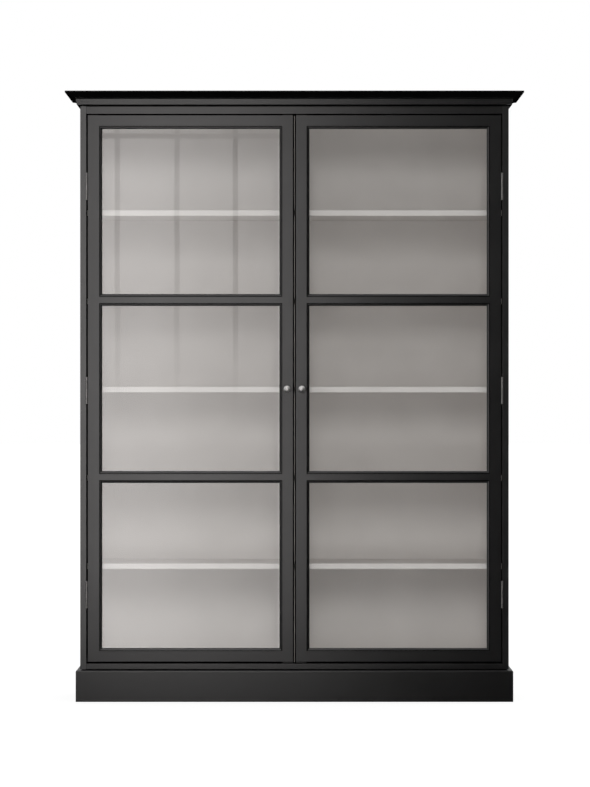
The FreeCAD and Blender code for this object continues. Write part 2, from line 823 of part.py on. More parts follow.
def hinge_leaf(name, level, plate_x, head_x, direction, first_knuckle):
    """Leaf plate with its knuckles, bored for the pin and countersunk for the screws."""
    reach = size.hinge_length / 2
    plate_front = case_front + size.knuckle_gap
    tab_front = axis_y + size.pin_radius + size.knuckle_gap
    pieces = [block(f"{name}_plate", plate_x, (plate_front, case_front + leaf_depth),
                    (level - reach, level + reach))]
    for index, span in enumerate(knuckle_spans(level, first_knuckle)):
        pieces.append(block(f"{name}_tab_{index}", plate_x, (tab_front, plate_front), span))
        pieces.append(rod(f"{name}_knuckle_{index}", "Z", (axis_x, axis_y, span[0]), size.barrel_radius,
                          knuckle_length))
    waste = [rod(f"{name}_bore", "Z", (axis_x, axis_y, level - reach), size.pin_radius + size.running_clear,
                 size.hinge_length)]
    for index, z in enumerate(screw_levels(level)):
        start = (head_x, screw_y, z)
        waste.append(cone(f"{name}_countersink_{index}", direction, start,
                          size.hinge_screw_head_radius + size.running_clear, pilot_radius, screw_depth))
        waste.append(rod(f"{name}_screw_hole_{index}", direction, start, pilot_radius, size.leaf_thick))
    return cut(f"{name}_leaf", fuse(f"{name}_blank", pieces), waste)


def hinge_screw(name, direction, start):
    """Countersunk wood screw."""
    head = cone(f"{name}_head", direction, start, size.hinge_screw_head_radius, size.hinge_screw_radius,
                screw_depth)
    shank = rod(f"{name}_shank", direction, start, size.hinge_screw_radius, size.hinge_screw_length)
    return fuse(name, [head, shank])


def make_hinges():
    """Butt hinges: a leaf let into the side, a leaf on the edge of the stile, and a headed pin."""
    inner = -inner_half
    frame_plate = (inner - size.leaf_thick, inner)
    door_plate = (hinge_edge - size.leaf_thick, hinge_edge)
    frame_leaves = []
    door_leaves = []
    frame_screws = []
    door_screws = []
    pins = []
    for name, level in hinge_levels.items():
        frame_leaves.append(hinge_leaf(f"{name}_frame", level, frame_plate, frame_plate[1], "-X", 0))
        door_leaves.append(hinge_leaf(f"{name}_door", level, door_plate, door_plate[0], "X", 1))
        for index, z in enumerate(screw_levels(level)):
            frame_start = (frame_plate[1], screw_y, z)
            door_start = (door_plate[0], screw_y, z)
            frame_screws.append(hinge_screw(f"{name}_frame_screw_{index}", "-X", frame_start))
            door_screws.append(hinge_screw(f"{name}_door_screw_{index}", "X", door_start))
        low = level - size.hinge_length / 2
        high = level + size.hinge_length / 2
        shaft = rod(f"{name}_pin_shaft", "Z", (axis_x, axis_y, low), size.pin_radius, size.hinge_length)
        head = rod(f"{name}_pin_head", "Z", (axis_x, axis_y, high), size.pin_head_radius, size.pin_head_thick)
        pins.append(fuse(f"{name}_pin", [shaft, head]))
    mirrored_pair("frame_hinge_leaves", group("frame_leaves", frame_leaves))
    mirrored_pair("door_hinge_leaves", group("door_leaves", door_leaves))
    node("hinge_pins", group("pins", with_twins(pins)))
    node("frame_hinge_screws", group("frame_screws", with_twins(frame_screws)))
    mirrored_pair("door_hinge_screws", group("door_screws", door_screws))


def check_and_write():
    """Stop on any failed object or bad solid, then write one file per node."""
    doc.recompute()
    for thing in doc.Objects:
        if "Invalid" in thing.State or "Error" in thing.State:
            raise RuntimeError(f"{thing.Label} failed: {thing.State}")
    for thing in nodes:
        shape = thing.Shape
        if shape.isNull() or not shape.isValid() or not shape.Solids:
            raise RuntimeError(f"{thing.Label} has no valid solid")
    os.makedirs("parts", exist_ok=True)
    for thing in nodes:
        thing.Shape.exportStep(f"parts/{thing.Label}.step")
        print(f"{thing.Label}: {len(thing.Shape.Solids)} solids, {thing.Shape.Volume / 1000:.1f} cm3")


make_sides()
make_panel("bottom_panel", case_base, floor_level)
make_panel("top_panel", ceiling_level, case_top)
make_back()
make_crown()
make_plinth()
make_shelves()
make_catches()
make_door_frame()
make_glazing()
make_knobs()
make_hinges()
check_and_write()
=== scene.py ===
"""Looks of the bookcase with glass doors: finishes, screws, stage, lights and camera, in metres."""
import math

import bmesh
import bpy
from mathutils import Matrix, Vector


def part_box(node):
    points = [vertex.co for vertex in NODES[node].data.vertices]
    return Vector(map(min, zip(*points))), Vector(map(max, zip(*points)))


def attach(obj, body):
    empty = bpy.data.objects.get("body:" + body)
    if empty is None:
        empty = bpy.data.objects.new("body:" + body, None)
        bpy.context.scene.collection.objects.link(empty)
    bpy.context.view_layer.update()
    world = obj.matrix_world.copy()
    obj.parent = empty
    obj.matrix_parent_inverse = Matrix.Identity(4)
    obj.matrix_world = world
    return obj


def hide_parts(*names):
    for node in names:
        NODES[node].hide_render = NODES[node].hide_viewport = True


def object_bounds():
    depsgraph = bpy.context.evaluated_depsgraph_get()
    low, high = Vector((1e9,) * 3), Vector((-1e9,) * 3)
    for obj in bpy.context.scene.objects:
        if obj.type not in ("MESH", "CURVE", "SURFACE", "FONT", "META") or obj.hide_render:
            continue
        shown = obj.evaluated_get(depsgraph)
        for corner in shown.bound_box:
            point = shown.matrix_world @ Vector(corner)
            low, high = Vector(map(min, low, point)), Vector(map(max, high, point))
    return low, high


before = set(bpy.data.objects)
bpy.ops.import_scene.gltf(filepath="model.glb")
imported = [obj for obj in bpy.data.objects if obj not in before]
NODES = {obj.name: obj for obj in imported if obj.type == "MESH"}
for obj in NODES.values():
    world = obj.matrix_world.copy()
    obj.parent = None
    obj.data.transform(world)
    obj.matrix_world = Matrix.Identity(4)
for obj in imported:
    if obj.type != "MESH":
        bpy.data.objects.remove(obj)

CAD_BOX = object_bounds()
AXES = "XYZ"
SIDES = ("left", "right")
REARWARD = Vector((0, 1, 0))

# The photograph's view: its size in pixels, the real size of a pixel on the front of the case, the
# pixels of the object's middle and of its foot, and how far the camera stands from that front.
IMAGE_WIDTH = 590
IMAGE_HEIGHT = 787
METRES_PER_PIXEL = 0.003526
MIDDLE_PIXEL_X = 294.45
FOOT_PIXEL_Y = 701.6
CAMERA_DISTANCE = 11.9
SENSOR = 36.0

# Faces of the CAD that other places are worked out from.
CASE_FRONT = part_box("left_side")[0].y
DOOR_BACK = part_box("left_door_hinge_stile")[1].y
DOOR_FOOT, DOOR_TOP = (corner.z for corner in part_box("left_door_hinge_stile"))
DOOR_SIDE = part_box("right_door_hinge_stile")[1].x
MEETING_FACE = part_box("right_door_meeting_stile")[0].x
GLASS_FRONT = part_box("left_door_glass_top")[0].y
SIDE_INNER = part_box("right_side")[0].x
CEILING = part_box("top_panel")[0].z
FLOOR_BOARD_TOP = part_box("bottom_panel")[1].z
BACK_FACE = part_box("back_panel")[0].y
CROWN_FOOT, CROWN_TOP = (corner.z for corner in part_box("crown_front"))
PLINTH_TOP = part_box("plinth_front")[1].z
FACE_TOLERANCE = 0.0005

# How far behind the doors the pale paint of the inside begins. In front of it the inside is black and
# without reflection: two-tone paint, and painted shade that keeps the gaps round the doors dark.
SHADED_RIM_DEPTH = 0.055

# Places with painted shade, where the lacquer gets no reflection so that they stay dark: the quirk
# beside the ovolo of the doors, the groove under the crown, the cove of the crown, the groove over the
# plinth, and the edges of the doors.
QUIRK_DEPTH = 0.002
QUIRK_TOLERANCE = 0.00006
CROWN_GAP = 0.006
COVE_MIDDLE = 0.011
COVE_HALF = 0.0092
PLINTH_GAP = 0.004
MEETING_EDGE = 0.0055

# How many finer layers a noise holds, the range that most of its values lie in, and the scale of the
# mottle that the paints and the fibreboard share.
FAINT_DETAIL = 1.0
SOFT_DETAIL = 2.0
FINE_DETAIL = 3.0
RICH_DETAIL = 4.0
DENSE_DETAIL = 5.0
NOISE_LOW = 0.25
NOISE_HIGH = 0.75
MOTTLE_PER_METRE = 9.0

# Black lacquer.
LACQUER_DEEP = (0.0020, 0.0020, 0.0021, 1)
LACQUER_LIGHT = (0.0034, 0.0033, 0.0033, 1)
LACQUER_SMOOTH = 0.30
LACQUER_ROUGH = 0.37
LACQUER_IOR = 1.68
CASE_IOR = 1.80
PLAIN_SHINE = 0.5
# Roughness and shine of the painted shade: places whose lacquer gets no reflection, so that they stay
# dark.
PAINTED_SHADE_ROUGH = 1.0
PAINTED_SHADE_SHINE = 0.0
PEEL_PER_METRE = 650.0
FIBRE_PER_METRE = 420.0
FIBRE_STRETCH = 0.03
FIBRE_HAZE_SHARE = 0.4
FIBRE_HEIGHT_SHARE = 0.5
LACQUER_RELIEF = 0.00005

# Pale paint.
PALE_DEEP = (0.735, 0.702, 0.680, 1)
PALE_LIGHT = (0.795, 0.761, 0.738, 1)
PALE_SMOOTH = 0.46
PALE_ROUGH = 0.60
PALE_IOR = 1.44
NAP_PER_METRE = 380.0
PALE_RELIEF = 0.00012

# Raw fibreboard.
BOARD_DEEP = (0.285, 0.180, 0.100, 1)
BOARD_LIGHT = (0.385, 0.255, 0.150, 1)
BOARD_SMOOTH = 0.66
BOARD_ROUGH = 0.82
BOARD_CLOUD_SHARE = 0.5
CHIPS_PER_METRE = 260.0

# Metal: deep and light tones, and the least and the greatest roughness of a finish.
NICKEL = ((0.62, 0.61, 0.59, 1), (0.74, 0.73, 0.71, 1))
KNOB_NICKEL = ((0.80, 0.79, 0.775, 1), (0.92, 0.91, 0.895, 1))
GUNMETAL = ((0.26, 0.255, 0.25, 1), (0.36, 0.355, 0.345, 1))
POLISHED = (0.22, 0.36)
SATIN = (0.42, 0.56)
BRUSH_PER_METRE = 2600.0
BRUSH_STRETCH = 0.02
METAL_CLOUD_PER_METRE = 160.0
METAL_RELIEF = 0.00002

# Glass.
GLASS_TINT = (0.990, 0.992, 0.989, 1)
GLASS_IOR = 1.5
RIPPLE_PER_METRE = 4.0
RIPPLE_RELIEF = 0.00006

# Plastic and ferrite.
PLASTIC_DEEP = (0.010, 0.009, 0.008, 1)
PLASTIC_LIGHT = (0.018, 0.016, 0.014, 1)
PLASTIC_SMOOTH = 0.36
PLASTIC_ROUGH = 0.52
PLASTIC_CLOUD_PER_METRE = 60.0
SPARK_PER_METRE = 1500.0
PLASTIC_RELIEF = 0.00006
FERRITE_DEEP = (0.018, 0.018, 0.020, 1)
FERRITE_LIGHT = (0.040, 0.040, 0.043, 1)
FERRITE_SMOOTH = 0.42
FERRITE_ROUGH = 0.62
GRIT_PER_METRE = 2400.0
FERRITE_RELIEF = 0.00005

# Bare softwood.
EARLY_WOOD = (0.52, 0.36, 0.20, 1)
LATE_WOOD = (0.33, 0.19, 0.085, 1)
WOOD_SMOOTH = 0.58
WOOD_ROUGH = 0.74
RINGS_PER_METRE = 46.0
RING_STRETCH = 0.05
RING_DISTORTION = 1.2
RINGS_PER_SWING = 9.0
LATE_SHARPNESS = 2.2
LATE_HEIGHT_SHARE = 0.4
PORES_PER_METRE = 900.0
PORE_STRETCH = 0.02
WOOD_RELIEF = 0.00010

# Lipping on the meeting edges of the doors.
LIPPING_THICKNESS = 0.00125
LIPPING_SETBACK = 0.005
LIPPING_END = 0.0005
LIPPING_BEVEL = 0.0004
BEVEL_SEGMENTS = 2
BEVEL_PROFILE = 0.5

# Screws: the radii of shanks and heads, and the shares of a shank's radius at its point, of a domed
# head's radius and depth at its shoulder, and of a head's radius in its cross recess.
CIRCLE_POINTS = 24
HEAD_RIM = 0.00015
HINGE_SCREW_SHANK = 0.00175
HINGE_SCREW_HEAD = 0.0035
KNOB_SCREW_SHANK = 0.002
KNOB_SCREW_HEAD = 0.004
KNOB_SCREW_HEAD_DEPTH = 0.0025
PANEL_SCREW_SHANK = 0.0015
PANEL_SCREW_HEAD = 0.003
POINT_SHARE = 0.25
DOME_FLAT_SHARE = 0.72
DOME_SHOULDER_SHARE = 0.9
DOME_SHOULDER_DEPTH = 0.18
DOME_RIM_DEPTH = 0.55
RECESS_REACH = 0.60
RECESS_HALF = 0.15
RECESS_DEPTH = 0.32
RECESS_TAPER = 0.55

# How the screws of the back panel are set, and the gap below which two points of a CAD mesh are one.
PANEL_SCREW_SUNK = 0.0003
PANEL_SCREW_CLEAR = 0.0002
PANEL_SCREW_INSET_SIDE = 0.005
PANEL_SCREW_INSET_END = 0.010
PANEL_SCREW_GAPS_UP = 9
PANEL_SCREW_GAPS_ACROSS = 6
WELD = 0.000001

# Sky and floor: the strength of the sky's light and the heights it rises between, how far the floor
# reaches, how much of its white is lit, and how its glow grows with the distance from the object.
WHITE = (1, 1, 1, 1)
SKY_LIGHT = (0.04, 0.55)
SKY_RISE = (-0.5, 0.7)
FLOOR_RADIUS = 60.0
FLOOR_POINTS = 96
FLOOR_SHARE = (0.30, 0.30, 0.30, 1)
FLOOR_BOUNCE = (0.75, 0.75, 0.75, 1)
FLOOR_GLOW = (0.86, 1.0)
FLOOR_GLOW_SPAN = (2.2, 5.0)

# The camera's far limit, past the rim of the floor.
CAMERA_REACH = 4 * FLOOR_RADIUS

# The window that the doors mirror. Its shares of light go with columns of pixels in the photograph,
# and the rows of pixels tell where its top dims and where its bars stand and fade.
WINDOW_DISTANCE = 2.45
WINDOW_PIXEL = METRES_PER_PIXEL * (1 + WINDOW_DISTANCE / CAMERA_DISTANCE)
WINDOW_HEIGHT = 3.4
WINDOW_GLOW = 2.85
WINDOW_COLOUR = (1.0, 0.970, 0.962, 1)
WINDOW_PROFILE = (
    (60, 1.00),
    (104, 1.18),
    (150, 1.0),
    (200, 0.68),
    (232, 0.55),
    (277, 0.46),
    (283, 1.6),
    (302, 1.6),
    (308, 0.0),
)
WINDOW_TOP_PIXELS_Y = (128.0, 172.0)
WINDOW_TOP_SHARE = 0.72
WINDOW_BAR = 0.022
WINDOW_BARS = ((117.3, 0.66), (177.0, 0.57), (235.4, 0.36))
WINDOW_BAR_ACROSS_SHARE = 0.58
WINDOW_BAR_PIXEL_Y = 136.0
WINDOW_BAR_FADE_PIXELS_Y = (290.0, 430.0)

# The studio round the object, with the glow of its walls at their foot and at their head. A ray that
# the far face of a pane sends back has met more faces than PANE_FACES.
STUDIO_SIDE = 4.0
STUDIO_BACK = 4.0
STUDIO_HEIGHT = 5.0
STUDIO_LIFT = 0.002
STUDIO_GLOW = (0.012, 0.18)
STUDIO_LEFT_GLOW = (0.40, 0.90)
STUDIO_RIGHT_GLOW = (0.06, 0.20)
STUDIO_REAR_GLOW = (0.35, 0.80)
PANE_FACES = 2.5

# Lamps, and the flag in front of the gap between the doors.
SOFTBOXES = {
    "front_softbox": {
        "place": (0.0, -11.0, 4.8),
        "target": (0, 0, 1.1),
        "size": (2.0, 3.4),
        "watts": 225.0,
    },
    "low_softbox": {
        "place": (0.0, -2.2, 0.25),
        "target": (0, 0, 0.35),
        "size": (1.4, 0.3),
        "watts": 4.0,
    },
    "left_softbox": {
        "place": (-3.2, -3.5, 1.5),
        "target": (0, 0, 1.1),
        "size": (2.4, 2.2),
        "watts": 6.0,
    },
    "rear_softbox": {
        "place": (1.4, 4.2, 2.6),
        "target": (0, 0.2, 1.1),
        "size": (2.4, 2.4),
        "watts": 34.0,
    },
}
FLAG_DISTANCE = 0.036
FLAG_WIDTH = 0.014


def new_tree(name):
    """A fresh material and its node tree."""
    material = bpy.data.materials.new(name)
    material.use_nodes = True
    material.node_tree.nodes.clear()
    return material, material.node_tree


def add(tree, kind, values=(), **settings):
    """A node with its settings made, and its sockets set or joined to another node's socket."""
    node = tree.nodes.new(kind)
    for attribute, value in settings.items():
        setattr(node, attribute, value)
    for socket, value in dict(values).items():
        if isinstance(value, bpy.types.NodeSocket):
            tree.links.new(value, node.inputs[socket])
        else:
            node.inputs[socket].default_value = value
    return node


def surface(tree, shader):
    """Ends a material's tree with a shader."""
    add(tree, "ShaderNodeOutputMaterial", {"Surface": shader})


def either(tree, factor, first, second):
    """The first shader where the factor is zero, and the second where it is one."""
    return add(tree, "ShaderNodeMixShader", {0: factor, 1: first, 2: second}).outputs["Shader"]


def place_of(tree):
    """The place on the object, in the row frame."""
    return add(tree, "ShaderNodeTexCoord").outputs["Object"]


def part_of(tree, place, axis):
    """One coordinate of a place."""
    return add(tree, "ShaderNodeSeparateXYZ", {"Vector": place}).outputs[axis]


def math_node(tree, operation, *values):
    """The result of an operation on numbers."""
    return add(tree, "ShaderNodeMath", dict(enumerate(values)), operation=operation).outputs[0]


def map_range(tree, value, span, result, kind="LINEAR"):
    """A number carried from one span over to another, and held within it."""
    values = {
        "Value": value,
        "From Min": span[0],
        "From Max": span[1],
        "To Min": result[0],
        "To Max": result[1],
    }
    return add(tree, "ShaderNodeMapRange", values, interpolation_type=kind).outputs["Result"]


def where(tree, place, tests):
    """One where every test holds: an axis, an operation, and what its coordinate is held against."""
    all_hold = None
    for axis, operation, *limits in tests:
        holds = math_node(tree, operation, part_of(tree, place, axis), *limits)
        all_hold = holds if all_hold is None else math_node(tree, "MULTIPLY", all_hold, holds)
    return all_hold


def anywhere(tree, place, tests):
    """One where any test holds."""
    any_holds = None
    for test in tests:
        holds = where(tree, place, [test])
        any_holds = holds if any_holds is None else math_node(tree, "MAXIMUM", any_holds, holds)
    return any_holds


def mixed(tree, factor, first, second):
    """A number between two. The sockets go by number, because their names repeat."""
    return add(tree, "ShaderNodeMix", {0: factor, 2: first, 3: second}).outputs[0]


def blend_colours(tree, factor, first, second):
    """A colour between two. The sockets go by number, because their names repeat."""
    values = {0: factor, 6: first, 7: second}
    return add(tree, "ShaderNodeMix", values, data_type="RGBA").outputs[2]


def stretched(tree, place, grain, stretch):
    """A place squeezed along the grain, so that a noise read there runs in fibres along it."""
    scale = [1.0, 1.0, 1.0]
    scale[AXES.index(grain)] = stretch
    return add(tree, "ShaderNodeMapping", {"Vector": place, "Scale": scale}).outputs["Vector"]


def noise(tree, place, per_metre, detail, distortion=0.0):
    """A noise around one half."""
    values = {"Vector": place, "Scale": per_metre, "Detail": detail, "Distortion": distortion}
    return add(tree, "ShaderNodeTexNoise", values).outputs["Fac"]


def spread(tree, factor, low, high):
    """A noise spread over a range of numbers."""
    return map_range(tree, factor, (NOISE_LOW, NOISE_HIGH), (low, high))


def tone(tree, factor, first, second):
    """A colour between two, by a noise."""
    return blend_colours(tree, spread(tree, factor, 0.0, 1.0), first, second)


def relief(tree, height, depth):
    """A bumped normal whose full height is depth."""
    values = {"Height": height, "Distance": depth, "Strength": 1.0}
    return add(tree, "ShaderNodeBump", values).outputs["Normal"]


def shade(material, tree, values):
    """The material with one principled shader for its surface."""
    shader = add(tree, "ShaderNodeBsdfPrincipled", values)
    surface(tree, shader.outputs["BSDF"])
    return material


def lacquer_parts(tree, place, grain):
    """Colour, roughness and relief of black lacquer, with the wood's grain just showing through."""
    fibre = noise(tree, stretched(tree, place, grain, FIBRE_STRETCH), FIBRE_PER_METRE, FINE_DETAIL)
    peel = noise(tree, place, PEEL_PER_METRE, FAINT_DETAIL)
    mottle = noise(tree, place, MOTTLE_PER_METRE, RICH_DETAIL)
    colour = tone(tree, mottle, LACQUER_DEEP, LACQUER_LIGHT)
    haze = mixed(tree, FIBRE_HAZE_SHARE, mottle, fibre)
    roughness = spread(tree, haze, LACQUER_SMOOTH, LACQUER_ROUGH)
    height = math_node(tree, "ADD", math_node(tree, "MULTIPLY", fibre, FIBRE_HEIGHT_SHARE), peel)
    return colour, roughness, height


def pale_parts(tree, place):
    """Colour, roughness and relief of a rolled coat of pale eggshell paint."""
    nap = noise(tree, place, NAP_PER_METRE, SOFT_DETAIL)
    mottle = noise(tree, place, MOTTLE_PER_METRE, RICH_DETAIL)
    colour = tone(tree, mottle, PALE_DEEP, PALE_LIGHT)
    return colour, spread(tree, nap, PALE_SMOOTH, PALE_ROUGH), nap


def black_lacquer(name, grain, shaded_places):
    """Satin black lacquer on a board with its grain along one axis, with painted shade where it gets
    no reflection.
    """
    material, tree = new_tree(name)
    place = place_of(tree)
    colour, roughness, height = lacquer_parts(tree, place, grain)
    # Painted shade: these places get no reflection, so that they stay dark.
    painted_shade = anywhere(tree, place, shaded_places)
    return shade(material, tree, {
        "Base Color": colour,
        "Roughness": mixed(tree, painted_shade, roughness, PAINTED_SHADE_ROUGH),
        "IOR": LACQUER_IOR,
        "Specular IOR Level": mixed(tree, painted_shade, PLAIN_SHINE, PAINTED_SHADE_SHINE),
        "Normal": relief(tree, height, LACQUER_RELIEF),
    })


def pale_paint(name):
    """Pale eggshell paint all over."""
    material, tree = new_tree(name)
    colour, roughness, height = pale_parts(tree, place_of(tree))
    return shade(material, tree, {
        "Base Color": colour,
        "Roughness": roughness,
        "IOR": PALE_IOR,
        "Normal": relief(tree, height, PALE_RELIEF),
    })


def two_tone(name, grain, ior, inner, behind_doors):
    """Black lacquer outside, pale paint inside, and in front of the pale paint a black rim without
    reflection: painted shade in the gaps round the doors.
    """
    material, tree = new_tree(name)
    place = place_of(tree)
    inside = where(tree, place, [inner, behind_doors])
    # The rim is painted shade: black, and without reflection.
    rim = math_node(tree, "SUBTRACT", where(tree, place, [inner]), inside)
    black_colour, black_roughness, black_height = lacquer_parts(tree, place, grain)
    pale_colour, pale_roughness, pale_height = pale_parts(tree, place)
    roughness = mixed(tree, inside, black_roughness, pale_roughness)
    height = mixed(tree, inside, black_height, pale_height)
    return shade(material, tree, {
        "Base Color": blend_colours(tree, inside, black_colour, pale_colour),
        "Roughness": mixed(tree, rim, roughness, PAINTED_SHADE_ROUGH),
        "IOR": ior,
        "Specular IOR Level": mixed(tree, rim, PLAIN_SHINE, PAINTED_SHADE_SHINE),
        "Normal": relief(tree, height, LACQUER_RELIEF),
    })


def panel_paint(name, inner):
    """Pale paint on the inner face of a fibreboard panel, which is raw behind and on its edges."""
    material, tree = new_tree(name)
    place = place_of(tree)
    inside = where(tree, place, [inner])
    pale_colour, pale_roughness, pale_height = pale_parts(tree, place)
    chips = noise(tree, place, CHIPS_PER_METRE, DENSE_DETAIL)
    cloud = noise(tree, place, MOTTLE_PER_METRE, RICH_DETAIL)
    board_colour = tone(tree, mixed(tree, BOARD_CLOUD_SHARE, chips, cloud), BOARD_DEEP, BOARD_LIGHT)
    board_roughness = spread(tree, chips, BOARD_SMOOTH, BOARD_ROUGH)
    return shade(material, tree, {
        "Base Color": blend_colours(tree, inside, board_colour, pale_colour),
        "Roughness": mixed(tree, inside, board_roughness, pale_roughness),
        "IOR": PALE_IOR,
        "Normal": relief(tree, mixed(tree, inside, chips, pale_height), PALE_RELIEF),
    })


def brushed_metal(name, grain, tones, roughness):
    """Metal brushed along one axis."""
    material, tree = new_tree(name)
    place = place_of(tree)
    brush = noise(tree, stretched(tree, place, grain, BRUSH_STRETCH), BRUSH_PER_METRE, FINE_DETAIL)
    cloud = noise(tree, place, METAL_CLOUD_PER_METRE, FINE_DETAIL)
    return shade(material, tree, {
        "Base Color": tone(tree, cloud, *tones),
        "Metallic": 1.0,
        "Roughness": spread(tree, brush, *roughness),
        "Normal": relief(tree, brush, METAL_RELIEF),
    })


def clear_glass(name):
    """Float glass with a faint ripple, which lets lamps and soft light through to the shelves."""
    material, tree = new_tree(name)
    ripple = noise(tree, place_of(tree), RIPPLE_PER_METRE, FAINT_DETAIL)
    pane = add(tree, "ShaderNodeBsdfPrincipled", {
        "Base Color": GLASS_TINT,
        "Roughness": 0.0,
        "IOR": GLASS_IOR,
        "Transmission Weight": 1.0,
        "Normal": relief(tree, ripple, RIPPLE_RELIEF),
    }).outputs["BSDF"]
    clear = add(tree, "ShaderNodeBsdfTransparent", {"Color": GLASS_TINT}).outputs["BSDF"]
    path = add(tree, "ShaderNodeLightPath").outputs
    lamps = either(tree, path["Is Shadow Ray"], pane, clear)
    surface(tree, either(tree, path["Is Diffuse Ray"], lamps, clear))
    return material


def moulded_plastic(name):
    """Dark brown plastic with a fine spark texture."""
    material, tree = new_tree(name)
    place = place_of(tree)
    spark = noise(tree, place, SPARK_PER_METRE, SOFT_DETAIL)
    cloud = noise(tree, place, PLASTIC_CLOUD_PER_METRE, SOFT_DETAIL)
    return shade(material, tree, {
        "Base Color": tone(tree, cloud, PLASTIC_DEEP, PLASTIC_LIGHT),
        "Roughness": spread(tree, spark, PLASTIC_SMOOTH, PLASTIC_ROUGH),
        "Normal": relief(tree, spark, PLASTIC_RELIEF),
    })


def sintered_ferrite(name):
    """Dark ferrite, as pressed and ground."""
    material, tree = new_tree(name)
    grit = noise(tree, place_of(tree), GRIT_PER_METRE, RICH_DETAIL)
    return shade(material, tree, {
        "Base Color": tone(tree, grit, FERRITE_DEEP, FERRITE_LIGHT),
        "Roughness": spread(tree, grit, FERRITE_SMOOTH, FERRITE_ROUGH),
        "Normal": relief(tree, grit, FERRITE_RELIEF),
    })


def bare_softwood(name, grain):
    """Unpainted softwood with growth rings and fine pores along the grain."""
    material, tree = new_tree(name)
    place = place_of(tree)
    along = stretched(tree, place, grain, RING_STRETCH)
    wander = noise(tree, along, RINGS_PER_METRE, RICH_DETAIL, RING_DISTORTION)
    rings = math_node(tree, "FRACT", math_node(tree, "MULTIPLY", wander, RINGS_PER_SWING))
    pores = noise(tree, stretched(tree, place, grain, PORE_STRETCH), PORES_PER_METRE, FINE_DETAIL)
    late = math_node(tree, "POWER", rings, LATE_SHARPNESS)
    height = math_node(tree, "ADD", pores, math_node(tree, "MULTIPLY", late, LATE_HEIGHT_SHARE))
    return shade(material, tree, {
        "Base Color": blend_colours(tree, late, EARLY_WOOD, LATE_WOOD),
        "Roughness": spread(tree, pores, WOOD_SMOOTH, WOOD_ROUGH),
        "Normal": relief(tree, height, WOOD_RELIEF),
    })


def dress(names, material):
    """Gives CAD nodes a material, in the slots of their objects."""
    for name in names:
        for slot in NODES[name].material_slots:
            slot.link = "OBJECT"
            slot.material = material


def finish_of(name):
    """The material that a CAD node was given."""
    return NODES[name].material_slots[0].material


def doors(*pieces):
    """The node names of these pieces on both doors."""
    return [f"{side}_door_{piece}" for side in SIDES for piece in pieces]


def dress_doors():
    """Finishes of the wood and the glass of the doors."""
    # Painted shade: the quirk and the edges of the doors get no reflection, so that they stay dark.
    shaded_edges = [
        ("Y", "COMPARE", CASE_FRONT + QUIRK_DEPTH, QUIRK_TOLERANCE),
        ("X", "COMPARE", 0.0, MEETING_EDGE),
        ("X", "LESS_THAN", FACE_TOLERANCE - DOOR_SIDE),
        ("X", "GREATER_THAN", DOOR_SIDE - FACE_TOLERANCE),
        ("Z", "LESS_THAN", DOOR_FOOT + FACE_TOLERANCE),
        ("Z", "GREATER_THAN", DOOR_TOP - FACE_TOLERANCE),
    ]
    uprights = doors("hinge_stile", "meeting_stile", "glazing_beads")
    rails = doors("bottom_rail", "lower_rail", "upper_rail", "top_rail")
    dress(uprights, black_lacquer("stile_lacquer", "Z", shaded_edges))
    dress(rails, black_lacquer("rail_lacquer", "X", shaded_edges))
    dress(doors("glass_bottom", "glass_middle", "glass_top"), clear_glass("pane_glass"))


def dress_mouldings():
    """Finishes of the crown and the plinth."""
    # Painted shade: the groove under the crown, the cove, the returns of the crown below their top and
    # the groove over the plinth get no reflection, so that they stay dark.
    under_crown = ("Z", "LESS_THAN", CROWN_FOOT + CROWN_GAP - FACE_TOLERANCE)
    cove = ("Z", "COMPARE", CROWN_TOP - COVE_MIDDLE, COVE_HALF)
    under_top = ("Z", "LESS_THAN", CROWN_TOP - FACE_TOLERANCE)
    over_plinth = ("Z", "GREATER_THAN", PLINTH_TOP - PLINTH_GAP + FACE_TOLERANCE)
    crown = black_lacquer("crown_lacquer", "X", [under_crown, cove])
    crown_return = black_lacquer("crown_return_lacquer", "Y", [under_top])
    plinth = black_lacquer("plinth_lacquer", "X", [over_plinth])
    plinth_return = black_lacquer("plinth_return_lacquer", "Y", [over_plinth])
    dress(["crown_front", "crown_back"], crown)
    dress(["crown_left", "crown_right"], crown_return)
    dress(["plinth_front", "plinth_back"], plinth)
    dress(["plinth_left", "plinth_right"], plinth_return)


def dress_boards():
    """Finishes of the boards of the case and of the shelves."""
    # In front of this line the inner faces are black without reflection: two-tone paint, and painted
    # shade in the gaps round the doors.
    behind_doors = ("Y", "GREATER_THAN", DOOR_BACK + SHADED_RIM_DEPTH)
    boards = {
        "left_side": ("Z", CASE_IOR, ("X", "GREATER_THAN", -SIDE_INNER - FACE_TOLERANCE)),
        "right_side": ("Z", CASE_IOR, ("X", "LESS_THAN", SIDE_INNER + FACE_TOLERANCE)),
        "top_panel": ("X", LACQUER_IOR, ("Z", "LESS_THAN", CEILING + FACE_TOLERANCE)),
        "bottom_panel": ("X", LACQUER_IOR, ("Z", "GREATER_THAN", FLOOR_BOARD_TOP - FACE_TOLERANCE)),
    }
    for name, (grain, ior, inner) in boards.items():
        dress([name], two_tone(f"{name}_paint", grain, ior, inner, behind_doors))
    panel_front = ("Y", "LESS_THAN", BACK_FACE + FACE_TOLERANCE)
    dress(["back_panel"], panel_paint("back_panel_paint", panel_front))
    shelves = [name for name in NODES if name.startswith("shelf_") and name != "shelf_pegs"]
    dress(shelves, pale_paint("shelf_paint"))


